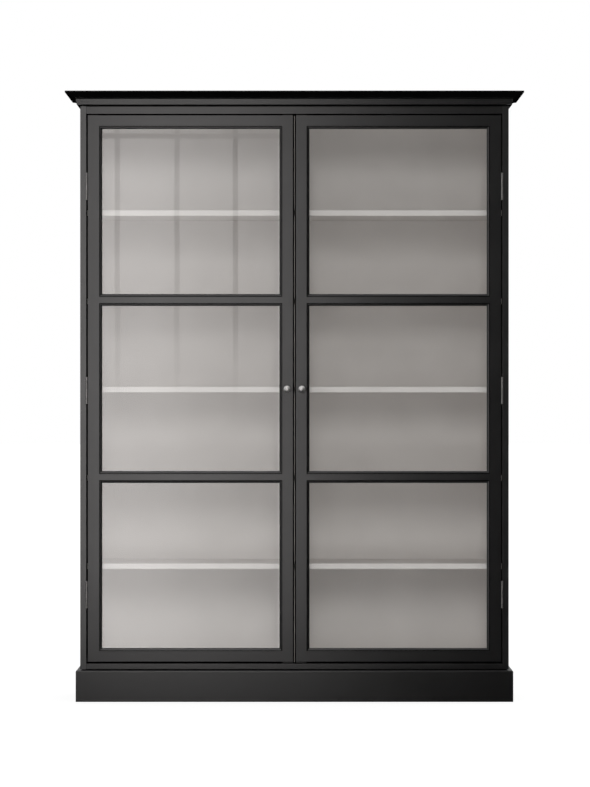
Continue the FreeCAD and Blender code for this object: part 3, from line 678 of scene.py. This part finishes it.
def dress_fittings():
    """Finishes of the hinges, knobs, pegs, catches and glue blocks."""
    leaves = doors("hinge_leaves") + ["left_frame_hinge_leaves", "right_frame_hinge_leaves"]
    screws = doors("hinge_screws") + ["frame_hinge_screws"]
    hinges = leaves + screws + ["hinge_pins"]
    dress(hinges, brushed_metal("hinge_gunmetal", "Z", GUNMETAL, POLISHED))
    dress(doors("knob"), brushed_metal("knob_nickel", "Y", KNOB_NICKEL, SATIN))
    dress(doors("knob_screw", "strike_plates"), brushed_metal("plate_nickel", "X", NICKEL, POLISHED))
    dress(["shelf_pegs"], brushed_metal("peg_nickel", "X", NICKEL, POLISHED))
    dress(["catch_housings"], moulded_plastic("catch_plastic_finish"))
    dress(["catch_magnets"], sintered_ferrite("ferrite"))
    dress(["plinth_corner_blocks"], bare_softwood("corner_block_wood", "Z"))


def new_object(name, data):
    """An object in the scene."""
    piece = bpy.data.objects.new(name, data)
    bpy.context.scene.collection.objects.link(piece)
    return piece


def mesh_of(name, shape):
    """The finished mesh of a shape, with its faces turned outwards."""
    bmesh.ops.recalc_face_normals(shape, faces=shape.faces)
    mesh = bpy.data.meshes.new(name)
    shape.to_mesh(mesh)
    shape.free()
    return mesh


def fit_piece(name, shape, body, material, replaced=()):
    """Adds a piece of the object, which rides on a body and may stand for CAD nodes."""
    piece = new_object(name, mesh_of(name, shape))
    piece.data.materials.append(material)
    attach(piece, body)
    if replaced:
        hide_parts(*replaced)


def bevelled_box(low, high, bevel):
    """A box between two corners, with its edges rounded over."""
    shape = bmesh.new()
    bmesh.ops.create_cube(shape, size=1.0)
    bmesh.ops.scale(shape, vec=high - low, verts=shape.verts)
    bmesh.ops.translate(shape, vec=(low + high) / 2, verts=shape.verts)
    bmesh.ops.bevel(
        shape,
        geom=shape.edges,
        offset=bevel,
        segments=BEVEL_SEGMENTS,
        profile=BEVEL_PROFILE,
        affect="EDGES",
    )
    return shape


def make_lipping(side):
    """The thin strip on the meeting edge of a door, which narrows the gap between the doors."""
    sign = 1 if side == "right" else -1
    edges = sorted((sign * MEETING_FACE, sign * (MEETING_FACE - LIPPING_THICKNESS)))
    low = Vector((edges[0], CASE_FRONT + LIPPING_SETBACK, DOOR_FOOT + LIPPING_END))
    high = Vector((edges[1], DOOR_BACK - LIPPING_END, DOOR_TOP - LIPPING_END))
    strip = bevelled_box(low, high, LIPPING_BEVEL)
    lacquer = finish_of(f"{side}_door_meeting_stile")
    fit_piece(f"{side}_door_meeting_lipping", strip, f"{side}_door", lacquer)


def solids_of(name):
    """The boxes of the separate solids in a CAD node, in order of their lowest corners."""
    shape = bmesh.new()
    shape.from_mesh(NODES[name].data)
    bmesh.ops.remove_doubles(shape, verts=shape.verts, dist=WELD)
    waiting = set(shape.verts)
    boxes = []
    while waiting:
        queue = [waiting.pop()]
        places = []
        while queue:
            vertex = queue.pop()
            places.append(vertex.co.copy())
            near = {edge.other_vert(vertex) for edge in vertex.link_edges} & waiting
            waiting -= near
            queue.extend(near)
        low = tuple(min(place[i] for place in places) for i in range(3))
        high = tuple(max(place[i] for place in places) for i in range(3))
        boxes.append((low, high))
    shape.free()
    return sorted(boxes)


def ring(shape, spot, radius, depth):
    """Points of a circle, this far below the top of a head."""
    turns = (math.tau * i / CIRCLE_POINTS for i in range(CIRCLE_POINTS))
    places = (Vector((radius * math.cos(turn), radius * math.sin(turn), -depth)) for turn in turns)
    return [shape.verts.new(spot @ place) for place in places]


def cross(shape, spot, head, taper, depth):
    """Points of a cross recess, this far below the top of a head."""
    reach = RECESS_REACH * head * taper
    half = RECESS_HALF * head * taper
    quarter = [
        Vector((reach, -half, -depth)),
        Vector((reach, half, -depth)),
        Vector((half, half, -depth)),
    ]
    turns = (Matrix.Rotation(math.tau * i / 4, 4, "Z") for i in range(4))
    return [shape.verts.new(spot @ turn @ place) for turn in turns for place in quarter]


def bridge(shape, upper, lower):
    """Walls between two loops of as many points."""
    for i in range(len(upper)):
        shape.faces.new((upper[i - 1], upper[i], lower[i], lower[i - 1]))


def loop_edges(shape, loop):
    """The edges of a closed loop of points."""
    pairs = zip(loop, loop[1:] + loop[:1])
    return [shape.edges.get(pair) or shape.edges.new(pair) for pair in pairs]


def outward_spot(place, outward):
    """The frame of a screw: its origin on top of the head, its Z axis out of the head."""
    return Matrix.Translation(place) @ outward.to_track_quat("Z", "Y").to_matrix().to_4x4()


def add_screw(shape, spot, profile):
    """A screw with a cross recess, turned from radii and depths that start at the flat of its head."""
    rings = [ring(shape, spot, radius, depth) for radius, depth in profile]
    for upper, lower in zip(rings, rings[1:]):
        bridge(shape, upper, lower)
    shape.faces.new(rings[-1])
    head = profile[0][0]
    mouth = cross(shape, spot, head, 1.0, 0.0)
    floor = cross(shape, spot, head, RECESS_TAPER, RECESS_DEPTH * head)
    bridge(shape, mouth, floor)
    shape.faces.new(floor)
    edges = loop_edges(shape, rings[0]) + loop_edges(shape, mouth)
    bmesh.ops.triangle_fill(shape, use_beauty=True, edges=edges)


def countersunk(head, shank, length):
    """The profile of a countersunk wood screw."""
    return (
        (head - HEAD_RIM, 0.0),
        (head, HEAD_RIM),
        (shank, head - shank),
        (shank, length - shank),
        (POINT_SHARE * shank, length),
    )


def pan_headed(head, head_depth, shank, length):
    """The profile of a machine screw with a domed head."""
    return (
        (DOME_FLAT_SHARE * head, 0.0),
        (DOME_SHOULDER_SHARE * head, DOME_SHOULDER_DEPTH * head_depth),
        (head, DOME_RIM_DEPTH * head_depth),
        (head, head_depth),
        (shank, head_depth),
        (shank, length),
    )


def make_hinge_screws(node, body, head_faces_middle):
    """The wood screws of one group of hinge leaves: their heads face the gap beside the door."""
    shape = bmesh.new()
    for low, high in solids_of(node):
        outer = 1 if low[0] > 0 else -1
        outward = Vector((-outer if head_faces_middle else outer, 0, 0))
        x = high[0] if outward.x > 0 else low[0]
        place = Vector((x, (low[1] + high[1]) / 2, (low[2] + high[2]) / 2))
        profile = countersunk(HINGE_SCREW_HEAD, HINGE_SCREW_SHANK, high[0] - low[0])
        add_screw(shape, outward_spot(place, outward), profile)
    fit_piece(f"{node}_slotted", shape, body, finish_of(node), [node])


def make_knob_screw(side):
    """The machine screw behind a knob."""
    node = f"{side}_door_knob_screw"
    low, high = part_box(node)
    place = Vector(((low.x + high.x) / 2, high.y, (low.z + high.z) / 2))
    profile = pan_headed(KNOB_SCREW_HEAD, KNOB_SCREW_HEAD_DEPTH, KNOB_SCREW_SHANK, high.y - low.y)
    shape = bmesh.new()
    add_screw(shape, outward_spot(place, REARWARD), profile)
    fit_piece(f"{node}_slotted", shape, f"{side}_door", finish_of(node), [node])


def evenly(start, end, gaps):
    """Numbers from start to end, with as many even gaps between them."""
    return [start + (end - start) * i / gaps for i in range(gaps + 1)]


def panel_screw_places():
    """Where the screws of the back panel stand: along its sides, its head and its foot."""
    low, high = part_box("back_panel")
    left = low.x + PANEL_SCREW_INSET_SIDE
    right = high.x - PANEL_SCREW_INSET_SIDE
    foot = low.z + PANEL_SCREW_INSET_END
    top = high.z - PANEL_SCREW_INSET_END
    up = evenly(foot, top, PANEL_SCREW_GAPS_UP)
    between = evenly(left, right, PANEL_SCREW_GAPS_ACROSS)[1:-1]
    sides = [(x, z) for x in (left, right) for z in up]
    ends = [(x, z) for z in (foot, top) for x in between]
    return [Vector((x, high.y, z)) for x, z in sides + ends]


def make_back_panel():
    """The back panel, countersunk for its screws, and the screws."""
    low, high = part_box("back_panel")
    board = bmesh.new()
    screws = bmesh.new()
    corners = ((low.x, low.z), (high.x, low.z), (high.x, high.z), (low.x, high.z))
    front = [board.verts.new((x, low.y, z)) for x, z in corners]
    rear = [board.verts.new((x, high.y, z)) for x, z in corners]
    board.faces.new(front)
    bridge(board, front, rear)
    edges = loop_edges(board, rear)
    throat_radius = PANEL_SCREW_SHANK + PANEL_SCREW_CLEAR
    mouth_radius = PANEL_SCREW_HEAD + PANEL_SCREW_CLEAR
    throat_depth = PANEL_SCREW_SUNK + PANEL_SCREW_HEAD - PANEL_SCREW_SHANK
    length = high.y - low.y - 2 * PANEL_SCREW_SUNK
    profile = countersunk(PANEL_SCREW_HEAD, PANEL_SCREW_SHANK, length)
    for place in panel_screw_places():
        spot = outward_spot(place, REARWARD)
        mouth = ring(board, spot, mouth_radius, 0.0)
        throat = ring(board, spot, throat_radius, throat_depth)
        bridge(board, mouth, throat)
        board.faces.new(throat)
        edges += loop_edges(board, mouth)
        add_screw(screws, outward_spot(place - REARWARD * PANEL_SCREW_SUNK, REARWARD), profile)
    bmesh.ops.triangle_fill(board, use_beauty=True, edges=edges)
    fit_piece("back_board", board, "carcass", finish_of("back_panel"), ["back_panel"])
    zinc = finish_of("left_door_strike_plates")
    fit_piece("back_board_screws", screws, "carcass", zinc)


def staged(name, mesh):
    """A piece of the stage, which isn't part of the object."""
    piece = new_object(name, mesh)
    return piece


def card(name, low, high, y):
    """An upright sheet that faces the object, between two corners given as x and z."""
    corners = [
        (low[0], y, low[1]),
        (high[0], y, low[1]),
        (high[0], y, high[1]),
        (low[0], y, high[1]),
    ]
    mesh = bpy.data.meshes.new(name)
    mesh.from_pydata(corners, [], [(3, 2, 1, 0)])
    return staged(name, mesh)


def mirrored_only(piece):
    """Only reflections meet this piece of the stage."""
    piece.visible_camera = False
    piece.visible_diffuse = False
    piece.visible_shadow = False


def keep_unseen(piece):
    """Keeps a lamp or a flag out of the picture, out of reflections and out of the glass."""
    piece.visible_camera = False
    piece.visible_glossy = False
    piece.visible_transmission = False


def mirrored_glow(name, colour, strength_of):
    """A glow met only by mirrored rays, also by those that the far face of a pane sends back."""
    material, tree = new_tree(name)
    path = add(tree, "ShaderNodeLightPath").outputs
    returned = math_node(tree, "GREATER_THAN", path["Ray Depth"], PANE_FACES)
    reflected = math_node(tree, "SUBTRACT", path["Is Glossy Ray"], path["Is Transmission Ray"])
    met = math_node(tree, "MAXIMUM", returned, reflected)
    clear = add(tree, "ShaderNodeBsdfTransparent", {"Color": WHITE}).outputs["BSDF"]
    light = add(tree, "ShaderNodeEmission", {"Color": colour, "Strength": strength_of(tree)})
    surface(tree, either(tree, met, clear, light.outputs["Emission"]))
    return material


def background_share(tree):
    """One for rays that should meet a white background: seen, mirrored, or sent through glass."""
    path = add(tree, "ShaderNodeLightPath").outputs
    seen = math_node(tree, "MAXIMUM", path["Is Camera Ray"], path["Is Glossy Ray"])
    return math_node(tree, "MAXIMUM", seen, path["Is Transmission Ray"])


def make_world():
    """A white background over soft light that falls from above."""
    world = bpy.data.worlds.new("studio_world")
    bpy.context.scene.world = world
    world.use_nodes = True
    tree = world.node_tree
    tree.nodes.clear()
    towards = add(tree, "ShaderNodeTexCoord").outputs["Generated"]
    sky = map_range(tree, part_of(tree, towards, "Z"), SKY_RISE, SKY_LIGHT, "SMOOTHSTEP")
    dim = add(tree, "ShaderNodeBackground", {"Color": WHITE, "Strength": sky}).outputs["Background"]
    white = add(tree, "ShaderNodeBackground", {"Color": WHITE, "Strength": 1.0}).outputs["Background"]
    shown = either(tree, background_share(tree), dim, white)
    add(tree, "ShaderNodeOutputWorld", {"Surface": shown})


def floor_paper(name):
    """White paper: near the object part of its white is lit, so that it takes a soft shadow."""
    material, tree = new_tree(name)
    away = add(tree, "ShaderNodeVectorMath", {0: place_of(tree)}, operation="LENGTH").outputs["Value"]
    reach = map_range(tree, away, FLOOR_GLOW_SPAN, FLOOR_GLOW)
    glow = math_node(tree, "MULTIPLY", reach, background_share(tree))
    paper = add(tree, "ShaderNodeBsdfDiffuse", {"Color": FLOOR_SHARE}).outputs["BSDF"]
    light = add(tree, "ShaderNodeEmission", {"Color": WHITE, "Strength": glow}).outputs["Emission"]
    shown = add(tree, "ShaderNodeAddShader", {0: paper, 1: light}).outputs["Shader"]
    bounce = add(tree, "ShaderNodeBsdfDiffuse", {"Color": FLOOR_BOUNCE}).outputs["BSDF"]
    surface(tree, either(tree, background_share(tree), bounce, shown))
    return material


def make_floor():
    """A white floor under the object."""
    mesh = bpy.data.meshes.new("floor")
    rim = bmesh.new()
    bmesh.ops.create_circle(rim, cap_ends=True, segments=FLOOR_POINTS, radius=FLOOR_RADIUS)
    rim.to_mesh(mesh)
    rim.free()
    floor = staged("floor", mesh)
    floor.location.z = CAD_BOX[0].z
    floor.data.materials.append(floor_paper("floor_paper"))


def mirrored_x(pixel):
    """The x, at the window, that a door's glass mirrors to the camera at this column of pixels."""
    return camera_place().x + (pixel - IMAGE_WIDTH / 2) * WINDOW_PIXEL


def mirrored_z(pixel):
    """The z, at the window, that a door's glass mirrors to the camera at this row of pixels."""
    return camera_place().z + (IMAGE_HEIGHT / 2 - pixel) * WINDOW_PIXEL


def window_profile(tree, x):
    """The window's share of light at this x."""
    first = WINDOW_PROFILE[0][0]
    last = WINDOW_PROFILE[-1][0]
    along = map_range(tree, x, (mirrored_x(first), mirrored_x(last)), (0.0, 1.0))
    ramp = add(tree, "ShaderNodeValToRGB", {"Fac": along})
    stops = ramp.color_ramp.elements
    while len(stops) < len(WINDOW_PROFILE):
        stops.new(1.0)
    for stop, (pixel, level) in zip(stops, WINDOW_PROFILE):
        stop.position = (pixel - first) / (last - first)
        stop.color = (level, level, level, 1)
    return ramp.outputs["Color"]


def window_light(name, share):
    """The window's glow, dimmed by a share that fades away downwards."""
    def strength(tree):
        place = place_of(tree)
        height = part_of(tree, place, "Z")
        top, foot = (mirrored_z(pixel) for pixel in WINDOW_TOP_PIXELS_Y)
        fall = map_range(tree, height, (foot, top), (WINDOW_GLOW, WINDOW_GLOW * WINDOW_TOP_SHARE))
        glow = math_node(tree, "MULTIPLY", window_profile(tree, part_of(tree, place, "X")), fall)
        bar_top, bar_foot = (mirrored_z(pixel) for pixel in WINDOW_BAR_FADE_PIXELS_Y)
        fade = map_range(tree, height, (bar_foot, bar_top), (1.0, share))
        return math_node(tree, "MULTIPLY", glow, fade)

    return mirrored_glow(name, WINDOW_COLOUR, strength)


def window_card(name, low, high, y, share):
    """A card with the window's glow, or with a share of it where a bar stands in front."""
    piece = card(name, low, high, y)
    piece.data.materials.append(window_light(f"{name}_glow", share))
    mirrored_only(piece)


def make_window():
    """A tall window with glazing bars, in front of the object and to its left."""
    y = GLASS_FRONT - WINDOW_DISTANCE
    left = mirrored_x(WINDOW_PROFILE[0][0])
    right = mirrored_x(WINDOW_PROFILE[-1][0])
    window_card("window_light", (left, 0.0), (right, WINDOW_HEIGHT), y, 1.0)
    foot = mirrored_z(WINDOW_BAR_FADE_PIXELS_Y[1])
    half = WINDOW_BAR / 2
    for number, (pixel, share) in enumerate(WINDOW_BARS, 1):
        x = mirrored_x(pixel)
        low, high = (x - half, foot), (x + half, WINDOW_HEIGHT)
        window_card(f"window_bar_{number}", low, high, y + half, share)
    z = mirrored_z(WINDOW_BAR_PIXEL_Y)
    share = WINDOW_BAR_ACROSS_SHARE
    window_card("window_bar_across", (left, z - half), (right, z + half), y + half, share)


def studio_glow(name, glow):
    """A wall's glow, from its foot up to its head."""
    def strength(tree):
        height = part_of(tree, place_of(tree), "Z")
        return map_range(tree, height, (0.0, STUDIO_HEIGHT), glow, "SMOOTHERSTEP")

    return mirrored_glow(name, WHITE, strength)


def make_dark_studio():
    """The studio that the shiny paint mirrors: dark in front, lit on its left, and pale behind."""
    front = GLASS_FRONT - WINDOW_DISTANCE - WINDOW_BAR
    rim = [
        (-STUDIO_SIDE, front),
        (STUDIO_SIDE, front),
        (STUDIO_SIDE, 0.0),
        (STUDIO_SIDE, STUDIO_BACK),
        (-STUDIO_SIDE, STUDIO_BACK),
    ]
    glows = {
        "front_wall": STUDIO_GLOW,
        "right_wall": STUDIO_RIGHT_GLOW,
        "right_rear_wall": STUDIO_REAR_GLOW,
        "rear_wall": STUDIO_REAR_GLOW,
        "left_wall": STUDIO_LEFT_GLOW,
        "studio_floor": STUDIO_GLOW,
    }
    count = len(rim)
    corners = [(x, y, z) for z in (STUDIO_LIFT, STUDIO_HEIGHT) for x, y in rim]
    walls = [(i, (i + 1) % count, (i + 1) % count + count, i + count) for i in range(count)]
    mesh = bpy.data.meshes.new("dark_studio")
    mesh.from_pydata(corners, [], walls + [tuple(range(count))])
    for index, (name, glow) in enumerate(glows.items()):
        mesh.materials.append(studio_glow(f"{name}_glow", glow))
        mesh.polygons[index].material_index = index
    mirrored_only(staged("dark_studio", mesh))


def aim(piece, target):
    """Turns a lamp to look at a point."""
    piece.rotation_euler = (Vector(target) - piece.location).to_track_quat("-Z", "Y").to_euler()


def make_softbox(name, place, target, size, watts):
    """A soft lamp, which lights the shelves and is kept out of the reflections."""
    lamp = bpy.data.lights.new(name, "AREA")
    lamp.shape = "RECTANGLE"
    lamp.size, lamp.size_y = size
    lamp.energy = watts
    piece = new_object(name, lamp)
    piece.location = place
    keep_unseen(piece)
    aim(piece, target)


def make_flag():
    """A narrow flag that keeps the lamps' light out of the gap between the doors."""
    half = FLAG_WIDTH / 2
    flag = card("gap_flag", (-half, DOOR_FOOT), (half, DOOR_TOP), CASE_FRONT - FLAG_DISTANCE)
    material, tree = new_tree("flag_cloth")
    cloth = add(tree, "ShaderNodeBsdfDiffuse", {"Color": LACQUER_DEEP})
    surface(tree, cloth.outputs["BSDF"])
    flag.data.materials.append(material)
    keep_unseen(flag)


def camera_place():
    """Where the photograph was taken from: level with the middle of the picture, and before it."""
    height = (FOOT_PIXEL_Y - IMAGE_HEIGHT / 2) * METRES_PER_PIXEL
    middle = (IMAGE_WIDTH / 2 - MIDDLE_PIXEL_X) * METRES_PER_PIXEL
    return Vector((middle, CASE_FRONT - CAMERA_DISTANCE, height))


def make_camera():
    """A level camera that keeps upright lines upright and fills the photograph's frame."""
    data = bpy.data.cameras.new("photo_camera")
    data.sensor_width = SENSOR
    data.lens = SENSOR * CAMERA_DISTANCE / (IMAGE_HEIGHT * METRES_PER_PIXEL)
    data.clip_end = CAMERA_REACH
    camera = new_object("photo_camera", data)
    camera.location = camera_place()
    camera.rotation_euler = (math.radians(90), 0, 0)
    bpy.context.scene.camera = camera


bpy.context.scene.view_settings.view_transform = "Standard"
dress_doors()
dress_mouldings()
dress_boards()
dress_fittings()
for side in SIDES:
    make_lipping(side)
    make_hinge_screws(f"{side}_door_hinge_screws", f"{side}_door", head_faces_middle=False)
    make_knob_screw(side)
make_hinge_screws("frame_hinge_screws", "carcass", head_faces_middle=True)
make_back_panel()
make_world()
make_floor()
make_window()
make_dark_studio()
for name, softbox in SOFTBOXES.items():
    make_softbox(name, **softbox)
make_flag()
make_camera()
